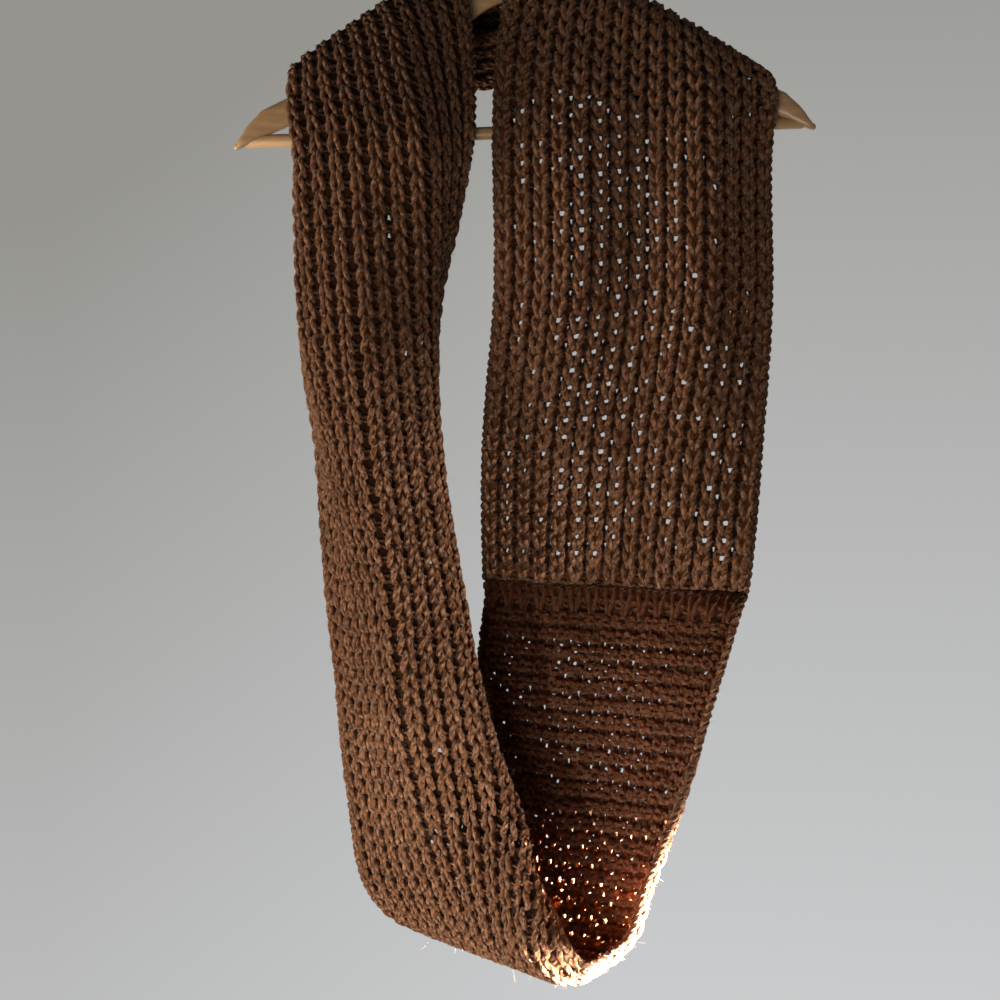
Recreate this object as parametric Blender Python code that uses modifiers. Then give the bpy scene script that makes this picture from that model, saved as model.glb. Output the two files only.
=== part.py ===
"""An infinity scarf of chunky fisherman's rib on a contoured wooden suit hanger.

The scarf is one knitted strip, 15 ribs wide, joined end to end with a half twist. It starts at the
seam, goes up the front on the right, over the arm, behind the neck, over the other arm, down the
front on the left, round the bottom and up to the seam again. Each stretch that shows is a loft of
cross-sections, and a cross-section is four flat facets with soft bends between them.

Frame: +X to the viewer's right, -Y towards the viewer, +Z up, origin at the top of the hook's inside.
"""

import math
from collections import namedtuple

import bmesh
import bpy
import numpy as np
from mathutils import Matrix

MM = 0.001

# Sizes of the knitting, in millimetres.
RIBS = 15
RIB_RELIEF = 1.3
POINTS_PER_RIB = 2
FOLD_A = 4.0
FOLD_B = 7.0
BEND_HALF_WIDTH = 1.0
GAP = 0.5
SEAM_EXTRA = 2.4
SEAM_SECTIONS = 5

# Sizes of the hanger, in millimetres.
HOOK_WIRE = 4.0
HOOK_INNER_RADIUS = 19.0
HOOK_STEM_BOTTOM = -86.0
HOOK_STEM_TOP = -58.0
HOOK_BEND = (1.5, -52.0)
HOOK_ARC_START = -62.0
HOOK_ARC = 240.0
HOOK_ARC_STEPS = 20
HOOK_HOLE_LENGTH = 60.0
BAR_DIAMETER = 10.0
BAR_HALF_LENGTH = 213.0
BAR_Z = -204.0
BAR_FORWARD = 16.0
ARM_FORWARD = 18.0
ARM_REACH = 220.0
ARM_CORNER_CUT = 0.55
HANGER_TILT = 2.0
SOCKET_CLEARANCE = 0.3
BAR_SOCKET_LENGTH = 29.0

# One row for each measured place along the strip. x, y, z is the second fold line (between ribs 7
# and 8), lean and turn give the direction from the first edge to the last one, facet1 to facet4 are
# the facets' angles from that direction towards the outer face, rim is how many ribs the last facet
# has, wall is the thickness of the cloth and pitch the width of a rib. Millimetres and degrees.
Place = namedtuple(
    "Place", "name x y z lean turn facet1 facet2 facet3 facet4 rim wall pitch"
)
PLACES = [
    Place("seam, upper side", 82, -19, -552, 180, 25, 8, -8, 6, -6, 4.0, 6.4, 14.6),
    Place("right panel, low", 88, -26, -446, 180, 13, 18, -12, 10, -12, 4.0, 6.4, 14.6),
    Place("right panel, middle", 99, -41, -328, 180, 0, 26, -16, 12, -18, 4.0, 6.4, 14.6),
    Place("right panel, high", 99, -42, -202, 180, 0, 27, -16, 10, -16, 4.0, 6.4, 14.6),
    Place("right arm, front", 100, -33, -146, 168, 4, 14, -2, 0, -8, 4.0, 5.4, 14.2),
    Place("right arm, edge", 101, -22, -114, 156, 4, 8, 2, -1, -1, 4.0, 4.6, 13.6),
    Place("right arm, top", 102, -8, -106, 153, 4, 7, 3, -2, -2, 4.0, 4.4, 13.2),
    Place("right arm, back edge", 98, 8, -109, 150, 4, 6, 4, -2, -2, 4.0, 4.6, 12.8),
    Place("right arm, behind", 87, 24, -124, 140, 6, 6, 8, 2, -2, 4.0, 5.0, 12.2),
    Place("nape, right", 46, 41, -139, 119, 0, 110, 34, 4, -4, 4.0, 5.0, 10.8),
    Place("nape, middle", 1, 50, -141, 92, 0, 172, 40, 0, -8, 4.0, 5.0, 10.2),
    Place("nape, left", -48, 45, -143, 66, 2, 176, 34, 4, -6, 4.0, 5.0, 10.8),
    Place("left arm, behind", -104, 30, -148, 43, 0, 178, 10, 0, -10, 4.0, 5.4, 12.8),
    Place("left arm, top", -141, -9, -135, 34, -5, 178, 2, 0, -4, 4.0, 4.4, 13.6),
    Place("left arm, edge", -138, -32, -144, 28, -4, 178, 8, 2, -16, 4.0, 5.0, 13.8),
    Place("left arm, front", -134, -53, -172, 12, 0, 178, 16, 4, -40, 4.0, 5.4, 14.2),
    Place("left panel, high", -127, -70, -204, 0, 0, 172, 18, 4, -55, 4.0, 6.4, 14.6),
    Place("left panel, upper", -123, -68, -268, 0, 0, 132, 18, -8, -70, 4.0, 6.4, 14.6),
    Place("left panel, middle", -120, -62, -329, 0, 0, 96, 22, -20, -86, 4.0, 6.4, 14.6),
    Place("left panel, lower", -110, -62, -451, 2, 10, 66, 42, -41, -112, 4.0, 6.4, 14.6),
    Place("left panel, low", -93, -62, -560, 4, 20, 42, 37, -52, -122, 4.0, 6.4, 14.6),
    Place("left panel, foot", -85, -60, -640, 6, 28, 32, 32, -44, -128, 4.0, 6.4, 14.6),
    Place("loop, left side", -71, -46, -718, 8, 38, 16, 18, -34, -140, 3.6, 6.4, 14.6),
    Place("loop, left corner", -51, -36, -790, 9, 49, 0, 0, -4, -146, 2.1, 6.2, 14.6),
    Place("loop, low left", -35, -34, -827, 3, 54, 0, 0, 0, -84, 1.2, 5.2, 14.6),
    Place("loop, bottom", -10, -33, -841, 2, 56, 0, 0, 0, -50, 1.4, 5.0, 14.6),
    Place("loop, low right", 13, -27, -829, 6, 50, 0, 1, 1, -64, 1.0, 5.8, 14.6),
    Place("loop, right corner", 29, -20, -785, 9, 45, 0, 2, 2, -70, 1.0, 6.4, 14.6),
    Place("loop, right side", 43, -14, -719, 8, 38, 0, 2, 2, -55, 1.0, 6.4, 14.6),
    Place("right panel, foot", 55, -14, -641, 5, 33, -2, 4, -2, -20, 1.0, 6.4, 14.6),
    Place("seam, lower side", 69, -11, -566, 0, 27, -4, 6, -6, 0, 1.0, 6.4, 14.6),
]

# One row for each stretch: where it starts and ends in the table above, how many cross-sections it
# has, and how much of it is left free for the gap to its neighbour, at its start and its end.
Stretch = namedtuple("Stretch", "node first last sections free_start free_end")
STRETCHES = [
    Stretch("scarf_right_upper", "seam, upper side", "right arm, front", 18, 0.0, 0.5),
    Stretch("scarf_back_neck", "right arm, front", "left arm, front", 32, 0.5, 0.5),
    Stretch("scarf_left_front", "left arm, front", "loop, left side", 22, 0.5, 0.5),
    Stretch("scarf_bottom", "loop, left side", "loop, right side", 22, 0.5, 0.5),
    Stretch("scarf_right_lower", "loop, right side", "seam, lower side", 8, 0.5, 0.0),
]

# Half of the hanger's arms, one row for each section: how far out, top, underside and thickness.
Arm = namedtuple("Arm", "x top bottom thick")
ARMS = [
    Arm(0, -76, -101, 15.0),
    Arm(20, -84, -105, 14.5),
    Arm(40, -99, -119, 14.0),
    Arm(80, -125, -145, 13.0),
    Arm(130, -152, -172, 13.0),
    Arm(170, -169, -190, 13.0),
    Arm(187, -174, -197, 13.5),
    Arm(200, -181, -203, 14.5),
    Arm(208, -188, -212, 15.0),
    Arm(215, -196, -212, 13.0),
    Arm(220, -204, -210, 8.0),
]

NUMBERS = np.array([place[1:] for place in PLACES], float)
NAMES = [place.name for place in PLACES]


def lengths_along(points):
    """Distance along a chain of points, from its first one."""
    steps = np.linalg.norm(np.diff(points, axis=0), axis=1)
    return np.concatenate([[0.0], np.cumsum(steps)])


KNOTS = lengths_along(NUMBERS[:, :3])


def smooth_rows(at):
    """Each column of the table at these distances: cubics whose slope at a row is the mean of the
    slopes on both sides, each weighted by the length of the other side."""
    steps = np.diff(KNOTS)
    slopes = np.diff(NUMBERS, axis=0) / steps[:, None]
    inner = (slopes[:-1] * steps[1:, None] + slopes[1:] * steps[:-1, None]) / (
        steps[:-1] + steps[1:]
    )[:, None]
    tangents = np.concatenate([slopes[:1], inner, slopes[-1:]])
    row = np.clip(np.searchsorted(KNOTS, at, side="right") - 1, 0, len(steps) - 1)
    step = steps[row][:, None]
    u = (at - KNOTS[row])[:, None] / step
    return (
        (2 * u**3 - 3 * u**2 + 1) * NUMBERS[row]
        + (u**3 - 2 * u**2 + u) * step * tangents[row]
        + (3 * u**2 - 2 * u**3) * NUMBERS[row + 1]
        + (u**3 - u**2) * step * tangents[row + 1]
    )


def unit(vectors):
    """The same directions, one long."""
    return vectors / np.linalg.norm(vectors, axis=-1, keepdims=True)


def frames(at):
    """Centre, direction across and outer direction of the cross-sections at these distances."""
    rows = smooth_rows(at)
    little = 1.0
    ahead = smooth_rows(np.minimum(at + little, KNOTS[-1]))[:, :3]
    behind = smooth_rows(np.maximum(at - little, 0.0))[:, :3]
    travel = unit(ahead - behind)
    lean, turn = np.radians(rows[:, 3]), np.radians(rows[:, 4])
    across = np.stack(
        [np.cos(lean) * np.cos(turn), -np.cos(lean) * np.sin(turn), np.sin(lean)], axis=1
    )
    return rows, across, unit(np.cross(travel, across))


def soft_step(x):
    """0 below -1, 1 above +1, and a smooth rise between them."""
    u = np.clip((x + 1) / 2, 0, 1)
    return u * u * (3 - 2 * u)


def cross_sections(at):
    """Outer and inner points of the cloth at these distances. The angle of the cloth steps from one
    facet's to the next over a soft bend, and the points are the running sum of short straight
    pieces, so the cloth keeps its width. The ribs of the inner face lie half a rib aside."""
    rows, across, outward = frames(at)
    count = RIBS * POINTS_PER_RIB
    middle = (np.arange(count) + 0.5) / POINTS_PER_RIB
    facet = np.radians(rows[:, 5:9])[:, :, None]
    last_fold = (RIBS - rows[:, 9])[:, None]
    angle = (
        facet[:, 0]
        + (facet[:, 1] - facet[:, 0]) * soft_step((middle - FOLD_A) / BEND_HALF_WIDTH)
        + (facet[:, 2] - facet[:, 1]) * soft_step((middle - FOLD_B) / BEND_HALF_WIDTH)
        + (facet[:, 3] - facet[:, 2]) * soft_step((middle - last_fold) / BEND_HALF_WIDTH)
    )
    piece = rows[:, [11]] / POINTS_PER_RIB
    run = np.cumsum(np.cos(angle), axis=1) * piece
    rise = np.cumsum(np.sin(angle), axis=1) * piece
    start = np.zeros((len(at), 1))
    run, rise = np.concatenate([start, run], axis=1), np.concatenate([start, rise], axis=1)
    anchor = int(FOLD_B * POINTS_PER_RIB)
    run, rise = run - run[:, [anchor]], rise - rise[:, [anchor]]
    edge = np.concatenate([angle[:, :1], (angle[:, 1:] + angle[:, :-1]) / 2, angle[:, -1:]], axis=1)
    rib = RIB_RELIEF * np.cos(2 * np.pi * np.arange(count + 1) / POINTS_PER_RIB)
    half = rows[:, [10]] / 2

    def place(offset):
        along = run - offset * np.sin(edge)
        out = rise + offset * np.cos(edge)
        return (
            rows[:, None, :3]
            + along[:, :, None] * across[:, None]
            + out[:, :, None] * outward[:, None]
        )

    return place(half - rib), place(-half - rib)


def loft(name, outer, inner, finish, group):
    """A closed body through the cross-sections: each ring runs along the outer face and back along
    the inner one, and the first and last rings are closed by strips across the wall."""
    rings = np.concatenate([outer, inner[:, ::-1]], axis=1)
    stations, around = rings.shape[:2]
    corner = np.arange(stations * around).reshape(stations, around)
    here, ahead = corner[:-1], corner[1:]
    sides = np.stack(
        [here, np.roll(here, -1, axis=1), np.roll(ahead, -1, axis=1), ahead], axis=-1
    ).reshape(-1, 4)
    half = around // 2
    left, right = np.arange(half - 1), around - 1 - np.arange(half - 1)
    cap = np.stack([left, left + 1, right - 1, right], axis=-1)
    faces = np.concatenate([sides, corner[0][cap][:, ::-1], corner[-1][cap]])
    mesh = bpy.data.meshes.new(name)
    mesh.from_pydata((rings.reshape(-1, 3) * MM).tolist(), [], faces.tolist())
    mesh.validate()
    body = bmesh.new()
    body.from_mesh(mesh)
    bmesh.ops.triangulate(body, faces=body.faces)
    bmesh.ops.recalc_face_normals(body, faces=body.faces)
    body.to_mesh(mesh)
    body.free()
    mesh.shade_smooth()
    mesh.materials.append(finish)
    group.objects.link(bpy.data.objects.new(name, mesh))


def material(name, colour, roughness, metallic=0.0):
    """A finish of one colour, for telling the pieces apart."""
    made = bpy.data.materials.new(name)
    made.use_nodes = True
    shader = made.node_tree.nodes["Principled BSDF"]
    shader.inputs["Base Color"].default_value = (*colour, 1.0)
    shader.inputs["Roughness"].default_value = roughness
    shader.inputs["Metallic"].default_value = metallic
    return made


def collection(name):
    made = bpy.data.collections.new(name)
    bpy.context.scene.collection.children.link(made)
    return made


def clear_scene():
    for thing in list(bpy.data.objects):
        bpy.data.objects.remove(thing, do_unlink=True)


def scarf_stretches(yarn, group):
    """The five stretches, each ending half a gap short of its neighbour."""
    place = dict(zip(NAMES, KNOTS))
    for stretch in STRETCHES:
        start = place[stretch.first] + stretch.free_start * GAP
        end = place[stretch.last] - stretch.free_end * GAP
        at = np.linspace(start, end, stretch.sections)
        outer, inner = cross_sections(at)
        loft(stretch.node, outer, inner, yarn, group)


def scarf_seam(yarn, group):
    """The joining seam: a thicker ridge between the strip's last section and its first one, which
    meet face to back and edge to edge because of the half twist."""
    lower_outer, lower_inner = cross_sections(KNOTS[-1:])
    upper_outer, upper_inner = cross_sections(KNOTS[:1])
    upper_outer, upper_inner = upper_inner[:, ::-1], upper_outer[:, ::-1]
    length = np.linalg.norm(lower_outer - upper_outer, axis=-1).min()
    share = np.linspace(GAP / length, 1 - GAP / length, SEAM_SECTIONS)[:, None, None]
    outer = lower_outer + share * (upper_outer - lower_outer)
    inner = lower_inner + share * (upper_inner - lower_inner)
    swell = SEAM_EXTRA / 2 * np.sin(np.pi * share) * unit(outer - inner)
    loft("scarf_seam", outer + swell, inner - swell, yarn, group)


def rounded_ring(x, top, bottom, thick):
    """Eight points of an upright oblong with cut corners, in the plane at this X."""
    middle_y = -ARM_FORWARD * (x / ARM_REACH) ** 2
    side = thick / 2
    cut = min(side, (top - bottom) / 2) * ARM_CORNER_CUT
    corners = [
        (side - cut, top),
        (side, top - cut),
        (side, bottom + cut),
        (side - cut, bottom),
        (cut - side, bottom),
        (-side, bottom + cut),
        (-side, top - cut),
        (cut - side, top),
    ]
    return [(x, middle_y + y, z) for y, z in corners]


def hanger_arms(wood, group, cutters, tilt):
    """Both arms in one piece of wood: half a loft, open at the middle, mirrored, then drilled."""
    rings = [rounded_ring(*arm) for arm in ARMS]
    around = len(rings[0])
    points = [point for ring in rings for point in ring]
    faces = []
    for ring in range(len(rings) - 1):
        for k in range(around):
            a = ring * around + k
            b = ring * around + (k + 1) % around
            faces.append((a, b, b + around, a + around))
    last = (len(rings) - 1) * around
    faces.append(tuple(last + k for k in range(around)))
    mesh = bpy.data.meshes.new("hanger_arms")
    mesh.from_pydata([tuple(c * MM for c in point) for point in points], [], faces)
    body = bmesh.new()
    body.from_mesh(mesh)
    bmesh.ops.recalc_face_normals(body, faces=body.faces)
    body.to_mesh(mesh)
    body.free()
    mesh.materials.append(wood)
    arms = bpy.data.objects.new("hanger_arms", mesh)
    group.objects.link(arms)
    arms.parent = tilt
    mirror = arms.modifiers.new("Mirror", "MIRROR")
    mirror.use_clip = True
    mirror.merge_threshold = 0.0001
    stem_hole_z = HOOK_STEM_BOTTOM - SOCKET_CLEARANCE + HOOK_HOLE_LENGTH / 2
    bar_hole_x = BAR_HALF_LENGTH + SOCKET_CLEARANCE - BAR_SOCKET_LENGTH / 2
    holes = [
        ("hole_for_hook", HOOK_WIRE, HOOK_HOLE_LENGTH, (0, 0, stem_hole_z), "Z"),
        ("hole_for_bar_left", BAR_DIAMETER, BAR_SOCKET_LENGTH, (-bar_hole_x, -BAR_FORWARD, BAR_Z), "X"),
        ("hole_for_bar_right", BAR_DIAMETER, BAR_SOCKET_LENGTH, (bar_hole_x, -BAR_FORWARD, BAR_Z), "X"),
    ]
    for name, diameter, length, place, axis in holes:
        cutter = cylinder(name, diameter + 2 * SOCKET_CLEARANCE, length, place, axis, cutters)
        cutter.parent = tilt
        cutter.hide_render = True
        cutter.display_type = "WIRE"
        cut = arms.modifiers.new(name, "BOOLEAN")
        cut.object = cutter
        cut.solver = "EXACT"


def cylinder(name, diameter, length, place, axis, group):
    """A round bar of 16 sides along X or Z, its middle at this place."""
    mesh = bpy.data.meshes.new(name)
    body = bmesh.new()
    bmesh.ops.create_cone(
        body,
        cap_ends=True,
        segments=16,
        radius1=diameter / 2 * MM,
        radius2=diameter / 2 * MM,
        depth=length * MM,
    )
    if axis == "X":
        bmesh.ops.rotate(body, verts=body.verts, matrix=Matrix.Rotation(math.pi / 2, 3, "Y"))
    body.to_mesh(mesh)
    body.free()
    mesh.set_sharp_from_angle(angle=math.radians(40))
    piece = bpy.data.objects.new(name, mesh)
    piece.location = [c * MM for c in place]
    group.objects.link(piece)
    return piece


def trouser_bar(wood, group, tilt):
    """The round rail between the arms' ends, its ends let into their sockets."""
    bar = cylinder(
        "trouser_bar", BAR_DIAMETER, 2 * BAR_HALF_LENGTH, (0, -BAR_FORWARD, BAR_Z), "X", group
    )
    bar.data.materials.append(wood)
    bar.parent = tilt


def hook(steel, group, tilt):
    """A wire hook: a straight stem that leans into two thirds of a circle."""
    radius = HOOK_INNER_RADIUS + HOOK_WIRE / 2
    centre = HOOK_WIRE / 2 - radius
    points = [(0.0, HOOK_STEM_BOTTOM), (0.0, HOOK_STEM_TOP), HOOK_BEND]
    for step in range(HOOK_ARC_STEPS + 1):
        angle = math.radians(HOOK_ARC_START + HOOK_ARC * step / HOOK_ARC_STEPS)
        points.append((radius * math.cos(angle), centre + radius * math.sin(angle)))
    curve = bpy.data.curves.new("hook", "CURVE")
    curve.dimensions = "3D"
    curve.bevel_depth = HOOK_WIRE / 2 * MM
    curve.bevel_resolution = 2
    curve.use_fill_caps = True
    line = curve.splines.new("POLY")
    line.points.add(len(points) - 1)
    for point, (x, z) in zip(line.points, points):
        point.co = (x * MM, 0.0, z * MM, 1.0)
    curve.materials.append(steel)
    wire = bpy.data.objects.new("hook", curve)
    group.objects.link(wire)
    wire.parent = tilt


def main():
    clear_scene()
    parts = collection("infinity_scarf_on_hanger")
    cutters = collection("cutters")
    yarn = material("brown_yarn", (0.19, 0.10, 0.05), 0.9)
    wood = material("pale_beech", (0.62, 0.47, 0.32), 0.45)
    steel = material("bright_steel", (0.75, 0.75, 0.76), 0.25, 1.0)
    tilt = bpy.data.objects.new("hanger_tilt", None)
    tilt.rotation_euler = (0, -math.radians(HANGER_TILT), 0)
    parts.objects.link(tilt)
    hanger_arms(wood, parts, cutters, tilt)
    trouser_bar(wood, parts, tilt)
    hook(steel, parts, tilt)
    scarf_stretches(yarn, parts)
    scarf_seam(yarn, parts)


main()
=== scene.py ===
# %% [markdown]
# # A chunky infinity scarf on a suit hanger
#
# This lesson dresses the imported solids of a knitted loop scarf, which hangs over a wooden suit
# hanger. The solids give the size and the folds. The knitting is made here as what it is: yarn
# that runs to and fro across the strip and makes a loop in every rib.
#
# All lengths in the tables are in millimetres and become metres when a mesh is made.

import math
from collections import namedtuple

import bpy
import numpy as np
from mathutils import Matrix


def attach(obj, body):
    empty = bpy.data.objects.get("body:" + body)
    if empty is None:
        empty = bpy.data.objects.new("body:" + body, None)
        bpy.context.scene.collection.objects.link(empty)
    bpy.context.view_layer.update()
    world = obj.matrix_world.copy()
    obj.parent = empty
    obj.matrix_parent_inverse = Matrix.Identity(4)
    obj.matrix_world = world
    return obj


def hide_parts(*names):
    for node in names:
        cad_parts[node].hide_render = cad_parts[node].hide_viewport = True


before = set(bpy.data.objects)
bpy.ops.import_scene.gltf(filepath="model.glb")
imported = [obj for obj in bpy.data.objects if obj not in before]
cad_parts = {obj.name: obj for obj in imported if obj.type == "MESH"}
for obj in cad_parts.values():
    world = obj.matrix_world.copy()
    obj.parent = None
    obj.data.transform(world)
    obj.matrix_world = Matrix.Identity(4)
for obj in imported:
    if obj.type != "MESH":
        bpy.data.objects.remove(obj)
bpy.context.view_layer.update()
MM = 0.001
print("solids:", sorted(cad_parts))

# %% [markdown]
# ## The strip as a surface
#
# The scarf is one strip, so a point on it has two addresses: how far along the strip, in
# millimetres, and how far across it, in ribs from 0 to 15. The table holds the places where the
# hang of the strip was measured. Each row is a point on the second fold line, the direction
# across (lean and turn), the angles of the four flat facets between the folds, how many ribs lie
# beyond the third fold (rim), the cloth's thickness (wall) and the width of a rib (pitch).
#
# An alternative is a cloth simulation. A table was chosen because the folds then stay where the
# photograph has them, and because the solids were made from the same rows.

# %% The table of places
RIBS = 15
FOLD_A = 4.0
FOLD_B = 7.0
BEND_HALF_WIDTH = 1.0
WALL = 6.4

Place = namedtuple(
    "Place",
    "name x y z lean turn facet1 facet2 facet3 facet4 rim wall pitch",
    defaults=(4.0, 6.4, 14.6),
)
PLACES = [
    Place("seam, upper side", 82, -19, -552, 180, 25, 8, -8, 6, -6),
    Place("right panel, low", 88, -26, -446, 180, 13, 18, -12, 10, -12),
    Place("right panel, middle", 99, -41, -328, 180, 0, 26, -16, 12, -18),
    Place("right panel, high", 99, -42, -202, 180, 0, 27, -16, 10, -16),
    Place("right arm, front", 100, -33, -146, 168, 4, 14, -2, 0, -8, 4.0, 5.4, 14.2),
    Place("right arm, edge", 101, -22, -114, 156, 4, 8, 2, -1, -1, 4.0, 4.6, 13.6),
    Place("right arm, top", 102, -8, -106, 153, 4, 7, 3, -2, -2, 4.0, 4.4, 13.2),
    Place("right arm, back edge", 98, 8, -109, 150, 4, 6, 4, -2, -2, 4.0, 4.6, 12.8),
    Place("right arm, behind", 87, 24, -124, 140, 6, 6, 8, 2, -2, 4.0, 5.0, 12.2),
    Place("nape, right", 46, 41, -139, 119, 0, 110, 34, 4, -4, 4.0, 5.0, 10.8),
    Place("nape, middle", 1, 50, -141, 92, 0, 172, 40, 0, -8, 4.0, 5.0, 10.2),
    Place("nape, left", -48, 45, -143, 66, 2, 176, 34, 4, -6, 4.0, 5.0, 10.8),
    Place("left arm, behind", -104, 30, -148, 43, 0, 178, 10, 0, -10, 4.0, 5.4, 12.8),
    Place("left arm, top", -141, -9, -135, 34, -5, 178, 2, 0, -4, 4.0, 4.4, 13.6),
    Place("left arm, edge", -138, -32, -144, 28, -4, 178, 8, 2, -16, 4.0, 5.0, 13.8),
    Place("left arm, front", -134, -53, -172, 12, 0, 178, 16, 4, -40, 4.0, 5.4, 14.2),
    Place("left panel, high", -127, -70, -204, 0, 0, 172, 18, 4, -55),
    Place("left panel, upper", -123, -68, -268, 0, 0, 132, 18, -8, -70),
    Place("left panel, middle", -120, -62, -329, 0, 0, 96, 22, -20, -86),
    Place("left panel, lower", -110, -62, -451, 2, 10, 66, 42, -41, -112),
    Place("left panel, low", -93, -62, -560, 4, 20, 42, 37, -52, -122),
    Place("left panel, foot", -85, -60, -640, 6, 28, 32, 32, -44, -128),
    Place("loop, left side", -71, -46, -718, 8, 38, 16, 18, -34, -140, 3.6),
    Place("loop, left corner", -51, -36, -790, 9, 49, 0, 0, -4, -146, 2.1, 6.2),
    Place("loop, low left", -35, -34, -827, 3, 54, 0, 0, 0, -84, 1.2, 5.2),
    Place("loop, bottom", -10, -33, -841, 2, 56, 0, 0, 0, -50, 1.4, 5.0),
    Place("loop, low right", 13, -27, -829, 6, 50, 0, 1, 1, -64, 1.0, 5.8),
    Place("loop, right corner", 29, -20, -785, 9, 45, 0, 2, 2, -70, 1.0),
    Place("loop, right side", 43, -14, -719, 8, 38, 0, 2, 2, -55, 1.0),
    Place("right panel, foot", 55, -14, -641, 5, 33, -2, 4, -2, -20, 1.0),
    Place("seam, lower side", 69, -11, -566, 0, 27, -4, 6, -6, 0, 1.0),
]
NUMBERS = np.array([place[1:] for place in PLACES], float)
NAMES = [place.name for place in PLACES]
LEAN, TURN, FACETS, RIM, THICKNESS, RIB_WIDTH = 3, 4, slice(5, 9), 9, 10, 11
FROM_ROW_TO_ROW = np.linalg.norm(np.diff(NUMBERS[:, :3], axis=0), axis=1)
KNOTS = np.concatenate([[0.0], np.cumsum(FROM_ROW_TO_ROW)])
STRIP_LENGTH = KNOTS[-1]
print(f"the strip is {STRIP_LENGTH:.0f} mm long, measured on its second fold")

# %% [markdown]
# ## From the table to a point
#
# `smooth_rows` draws a smooth curve through every column of the table. `sheet_grid` then walks
# across the strip in small steps. Each step turns by the angle of its facet, so the cloth keeps its
# width however it is folded. It gives a grid of points and a grid of directions out of the cloth,
# and `on_cloth` reads both grids between their points.


# %% Smooth rows and the grid
def unit(vectors):
    """The same directions, one long."""
    return vectors / np.linalg.norm(vectors, axis=-1, keepdims=True)


def smooth_rows(at):
    """Every column of the table at these distances: cubics whose slope at a row is the mean of the
    slopes before and after it, each weighted by the length of the other side."""
    steps = np.diff(KNOTS)
    slopes = np.diff(NUMBERS, axis=0) / steps[:, None]
    inner = (slopes[:-1] * steps[1:, None] + slopes[1:] * steps[:-1, None]) / (
        steps[:-1] + steps[1:]
    )[:, None]
    tangents = np.concatenate([slopes[:1], inner, slopes[-1:]])
    row = np.clip(np.searchsorted(KNOTS, at, side="right") - 1, 0, len(steps) - 1)
    step = steps[row][:, None]
    u = (at - KNOTS[row])[:, None] / step
    return (
        (2 * u**3 - 3 * u**2 + 1) * NUMBERS[row]
        + (u**3 - 2 * u**2 + u) * step * tangents[row]
        + (3 * u**2 - 2 * u**3) * NUMBERS[row + 1]
        + (u**3 - u**2) * step * tangents[row + 1]
    )


def soft_step(x):
    """0 below -1, 1 above +1, and a smooth rise between them."""
    u = np.clip((x + 1) / 2, 0, 1)
    return u * u * (3 - 2 * u)


GRID_PER_RIB = 8


def sheet_grid(at):
    """Middle points of the cloth and directions out of it, one row for each distance and one
    column for each eighth of a rib, and the wall at each distance. Each step across runs and rises
    by the cosine and sine of the facets' angle there, and all is counted from the second fold."""
    rows = smooth_rows(at)
    ahead = smooth_rows(np.minimum(at + 1.0, STRIP_LENGTH))[:, :3]
    behind = smooth_rows(np.maximum(at - 1.0, 0.0))[:, :3]
    lean, turn = np.radians(rows[:, LEAN]), np.radians(rows[:, TURN])
    across = np.stack(
        [np.cos(lean) * np.cos(turn), -np.cos(lean) * np.sin(turn), np.sin(lean)], axis=1
    )
    outward = unit(np.cross(unit(ahead - behind), across))
    count = RIBS * GRID_PER_RIB
    middle = (np.arange(count) + 0.5) / GRID_PER_RIB
    facet = np.radians(rows[:, FACETS])[:, :, None]
    last_fold = (RIBS - rows[:, RIM])[:, None]
    angle = (
        facet[:, 0]
        + (facet[:, 1] - facet[:, 0]) * soft_step((middle - FOLD_A) / BEND_HALF_WIDTH)
        + (facet[:, 2] - facet[:, 1]) * soft_step((middle - FOLD_B) / BEND_HALF_WIDTH)
        + (facet[:, 3] - facet[:, 2]) * soft_step((middle - last_fold) / BEND_HALF_WIDTH)
    )
    piece = rows[:, [RIB_WIDTH]] / GRID_PER_RIB
    start = np.zeros((len(at), 1))
    run = np.concatenate([start, np.cumsum(np.cos(angle), axis=1) * piece], axis=1)
    rise = np.concatenate([start, np.cumsum(np.sin(angle), axis=1) * piece], axis=1)
    anchor = int(FOLD_B * GRID_PER_RIB)
    run, rise = run - run[:, [anchor]], rise - rise[:, [anchor]]
    edge = np.concatenate([angle[:, :1], (angle[:, 1:] + angle[:, :-1]) / 2, angle[:, -1:]], axis=1)
    points = (
        rows[:, None, :3] + run[:, :, None] * across[:, None] + rise[:, :, None] * outward[:, None]
    )
    out = (
        np.cos(edge)[:, :, None] * outward[:, None] - np.sin(edge)[:, :, None] * across[:, None]
    )
    return points, out, rows[:, THICKNESS]


def even_rows(at, points, out, wall):
    """The same cloth with its grid rows moved so that stitches keep their size everywhere. Each
    column's own length, scaled to the strip's, says where a row crosses it, and neighbouring
    columns are averaged over a rib so that no stitch is sheared far."""
    steps = np.linalg.norm(np.diff(points, axis=0), axis=2)
    walked = np.concatenate([np.zeros((1, points.shape[1])), np.cumsum(steps, axis=0)])
    shift = walked * (STRIP_LENGTH / walked[-1]) - at[:, None]
    reach = 2 * GRID_PER_RIB
    weights = np.exp(-0.5 * (np.arange(-reach, reach + 1) / GRID_PER_RIB) ** 2)
    padded = np.pad(shift, ((0, 0), (reach, reach)), "edge")
    windows = np.lib.stride_tricks.sliding_window_view(padded, 2 * reach + 1, axis=1)
    row_at = at[:, None] + windows @ (weights / weights.sum())
    columns = np.arange(points.shape[1])
    place = np.stack([np.interp(at, row_at[:, j], np.arange(len(at))) for j in columns], axis=1)
    low = np.minimum(place.astype(int), len(at) - 2)
    u = place - low
    blended = [
        (1 - u)[..., None] * grid[low, columns] + u[..., None] * grid[low + 1, columns]
        for grid in (points, out)
    ]
    return blended[0], unit(blended[1]), (1 - u) * wall[low] + u * wall[low + 1]


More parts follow.
